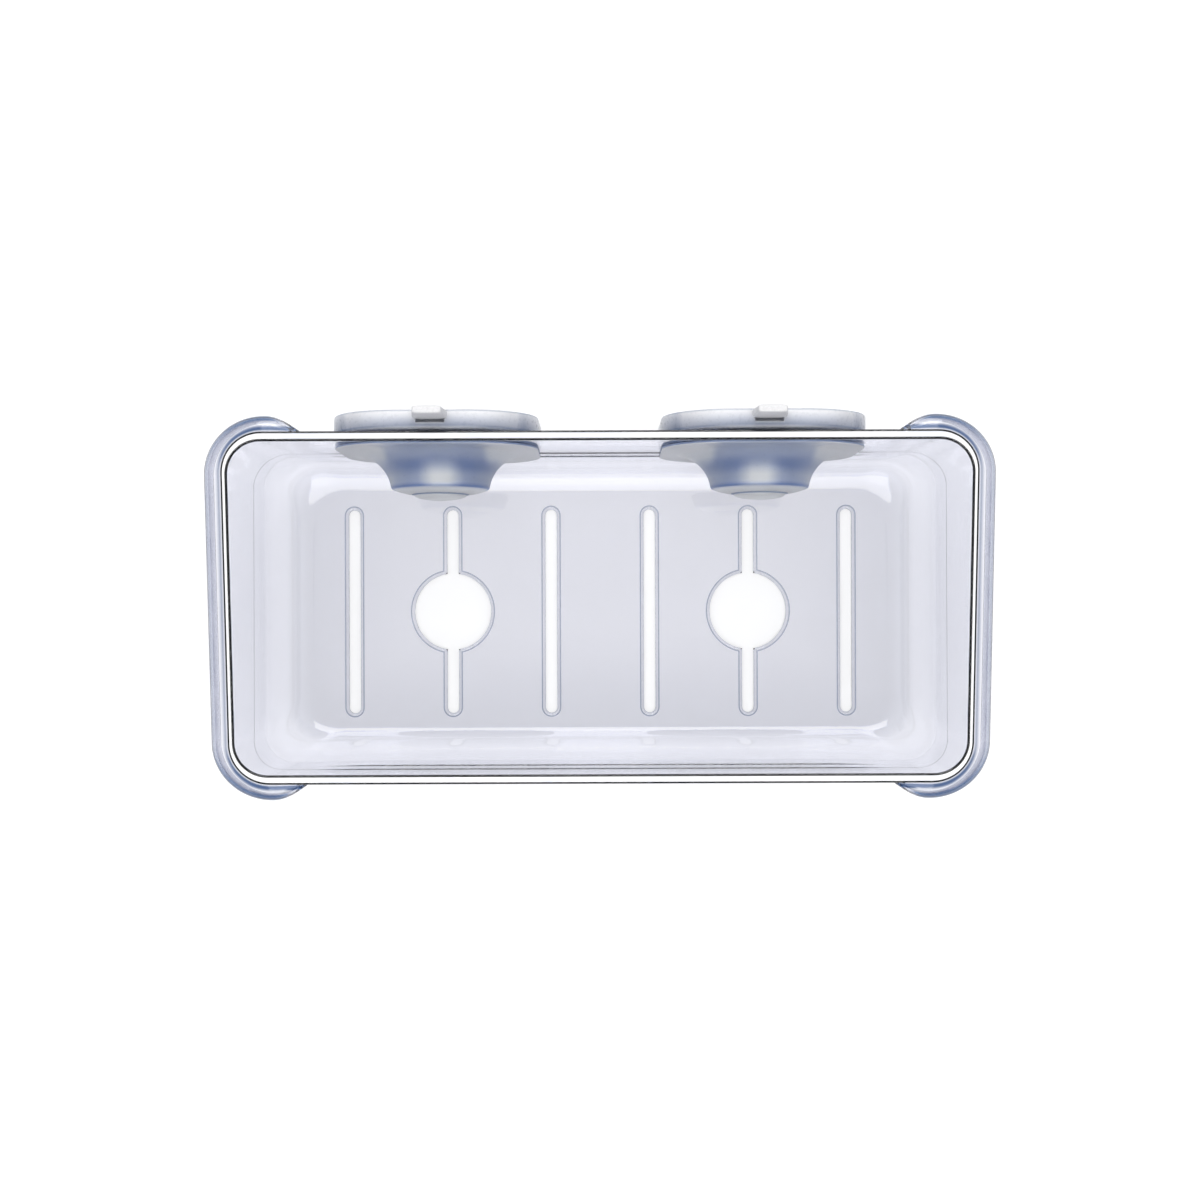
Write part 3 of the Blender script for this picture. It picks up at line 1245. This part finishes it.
class BASKET_OT_plungers(bpy.types.Operator):
    """Build the return springs and finish the stems and clips"""

    bl_idname = "basket.plungers"
    bl_label = "Plungers"
    bl_options = {"REGISTER", "UNDO"}

    def execute(self, context):
        unit, colours = settings(context, "unit", "colours")
        steel = shared(drawn_steel, colours)
        stem = satin_plastic("natural acetal", linear("E8E8E6"), linear("DCDCDA"), 0.4)
        # The coil's ends: behind the button's front, and on the web inside the hub.
        front = -(unit.neck_front + unit.face_rise) + 0.6 * MM + unit.wire / 2
        rear = -3.7 * MM - unit.wire / 2
        coil = coil_grid(unit, front, rear)
        for side in SIDES:
            x, y, z = unit_axis(context, side)
            spring = add_piece(
                f"spring_coil_{side}", grid_mesh("spring_coil", coil + [x, y, z], caps=True), steel,
                "basket_body", [f"return_spring_{side}"], 60,
            )
            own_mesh(spring)
            finish_node(f"plunger_stem_{side}", stem)
            finish_node(f"stem_clip_{side}", steel)
        return {"FINISHED"}


class BASKET_OT_tabs(bpy.types.Operator):
    """Build the two release tabs"""

    bl_idname = "basket.tabs"
    bl_label = "Release tabs"
    bl_options = {"REGISTER", "UNDO"}

    def execute(self, context):
        unit, tab, colours = settings(context, "unit", "tab", "colours")
        material = satin_plastic("satin white plastic", colours.tab, linear("E0DFDF"), 0.38)
        for side in SIDES:
            x, y, _ = unit_axis(context, side)
            mesh = grid_mesh("white_tab", tab_grid(unit, tab) + [x, y, 0], caps=True)
            add_piece(
                f"white_tab_{side}", mesh, material, f"tab_{side}", [f"release_tab_{side}"]
            )
        return {"FINISHED"}


class BASKET_OT_studio(bpy.types.Operator):
    """Set the floor, the lamps, the world and the camera"""

    bl_idname = "basket.studio"
    bl_label = "Studio"
    bl_options = {"REGISTER", "UNDO"}

    def execute(self, context):
        scene = context.scene
        mesh = bpy.data.meshes.new("studio_floor")
        corners = [(x * FLOOR_REACH, y * FLOOR_REACH, 0) for x, y in ((-1, -1), (1, -1), (1, 1), (-1, 1))]
        mesh.from_pydata(corners, [], [(0, 1, 2, 3)])
        mesh.materials.append(self.floor_paper())
        floor = bpy.data.objects.new("studio_floor", mesh)
        scene.collection.objects.link(floor)
        floor.location.z = -0.2 * MM
        for light in LIGHTS:
            self.add_light(scene, *light)
        self.set_world(scene)
        self.set_camera(scene)
        scene.view_settings.view_transform = "Standard"
        return {"FINISHED"}

    def add_light(self, scene, name, place, size, power, gloss_only):
        """An area lamp that looks at the object, or an oval card that shows only in gloss."""
        lamp = bpy.data.lights.new(name, "AREA")
        lamp.shape = "ELLIPSE" if gloss_only else "RECTANGLE"
        lamp.size, lamp.size_y = size
        lamp.energy = power
        item = bpy.data.objects.new(name, lamp)
        scene.collection.objects.link(item)
        item.visible_diffuse = not gloss_only
        item.location = place
        way = Vector(LIGHTS_AIM) - item.location
        item.rotation_euler = way.to_track_quat("-Z", "Y").to_euler()

    def set_camera(self, scene):
        """The camera looks straight down, a hair turned, as in the photograph."""
        camera = bpy.data.cameras.new("camera")
        camera.lens = 47.88
        camera.sensor_width = 36
        camera.shift_x = -0.0004
        camera.shift_y = 0.0208
        camera.clip_start = 10 * MM
        view = bpy.data.objects.new("camera", camera)
        scene.collection.objects.link(view)
        view.location = (0, -0.0062, 0.621)
        view.rotation_euler = (0, 0, -0.0035)
        scene.camera = view

    def floor_paper(self):
        """White paper: part of its brightness is its own for rays that look at it, so that the
        background is white while the object's shadow stays."""
        material, tree, shader = new_material(
            "white floor paper", linear("C4C4C4"), 0.9, Specular_IOR_Level=0.0
        )
        seen = add_node(tree, "ShaderNodeLightPath").outputs
        looked = seen["Is Camera Ray"]
        for ray in ("Is Glossy Ray", "Is Transmission Ray"):
            either = add_node(tree, "ShaderNodeMath", {0: looked, 1: seen[ray]}, operation="MAXIMUM")
            looked = either.outputs[0]
        glow, none = (
            add_node(tree, "ShaderNodeEmission", {"Color": linear(code), "Strength": strength}).outputs[0]
            for code, strength in (("FFFFFF", 0.59), ("000000", 0.0))
        )
        chosen = add_node(tree, "ShaderNodeMixShader", {0: looked, 1: none, 2: glow})
        add_node(
            tree, "ShaderNodeAddShader", {0: shader.outputs[0], 1: chosen.outputs[0]},
            feeds={0: tree.nodes["Material Output"].inputs["Surface"]},
        )
        return material

    def set_world(self, scene):
        """A white tent with a dark gap round the horizon, which gives clear edges their lines."""
        world = bpy.data.worlds.new("studio_world")
        scene.world = world
        world.use_nodes = True
        tree = world.node_tree
        back = tree.nodes["Background"]
        seen = add_node(tree, "ShaderNodeLightPath").outputs
        way = add_node(tree, "ShaderNodeTexCoord").outputs["Generated"]
        axes = add_node(tree, "ShaderNodeSeparateXYZ", {0: way}).outputs
        height = add_node(
            tree, "ShaderNodeMapRange", {"Value": axes["Z"], "From Min": -1.0, "From Max": 1.0}
        )
        white, below, above, dark = (linear(code) for code in ("FFFFFF", "F4F4F4", "F0F2F6", "39435C"))
        tent = add_node(
            tree, "ShaderNodeValToRGB", {"Fac": height.outputs["Result"]},
            stops=((0.0, below), (0.36, below), (0.44, dark), (0.60, dark), (0.72, above), (1.0, white)),
        )
        add_node(
            tree, "ShaderNodeMix",
            {"Factor": seen["Is Camera Ray"], "A": tent.outputs["Color"], "B": white},
            data_type="RGBA", feeds={"Result": back.inputs["Color"]},
        )
        back.inputs["Strength"].default_value = 1.0


OPERATORS = (
    BASKET_OT_tub,
    BASKET_OT_covers,
    BASKET_OT_buttons,
    BASKET_OT_pads,
    BASKET_OT_clamps,
    BASKET_OT_plungers,
    BASKET_OT_tabs,
    BASKET_OT_studio,
)


class BASKET_PT_panel(bpy.types.Panel):
    """Sizes, colours and building steps of the basket"""

    bl_label = "Suction Basket"
    bl_idname = "BASKET_PT_panel"
    bl_space_type = "VIEW_3D"
    bl_region_type = "UI"
    bl_category = "Basket"

    def draw(self, context):
        for key, group in GROUPS.items():
            box = self.layout.box()
            box.label(text=group.__doc__.split(";")[0].rstrip("."))
            for name in group.__annotations__:
                box.prop(getattr(context.scene, key), name)
        for operator in OPERATORS:
            self.layout.operator(operator.bl_idname)


CLASSES = (*GROUPS.values(), *OPERATORS, BASKET_PT_panel)


def register():
    """Register the classes and give each scene its settings."""
    for kind in CLASSES:
        bpy.utils.register_class(kind)
    for key, group in GROUPS.items():
        setattr(bpy.types.Scene, key, PointerProperty(type=group))


def unregister():
    """Take the settings and the classes away again."""
    for key in GROUPS:
        delattr(bpy.types.Scene, key)
    for kind in reversed(CLASSES):
        bpy.utils.unregister_class(kind)


def main():
    """Register, build everything in order and write the sizes of the model and of its looks."""
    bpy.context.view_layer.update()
    register()
    for operator in OPERATORS:
        group, name = operator.bl_idname.split(".")
        getattr(getattr(bpy.ops, group), name)()
    bpy.context.view_layer.update()


if __name__ == "__main__":
    main()
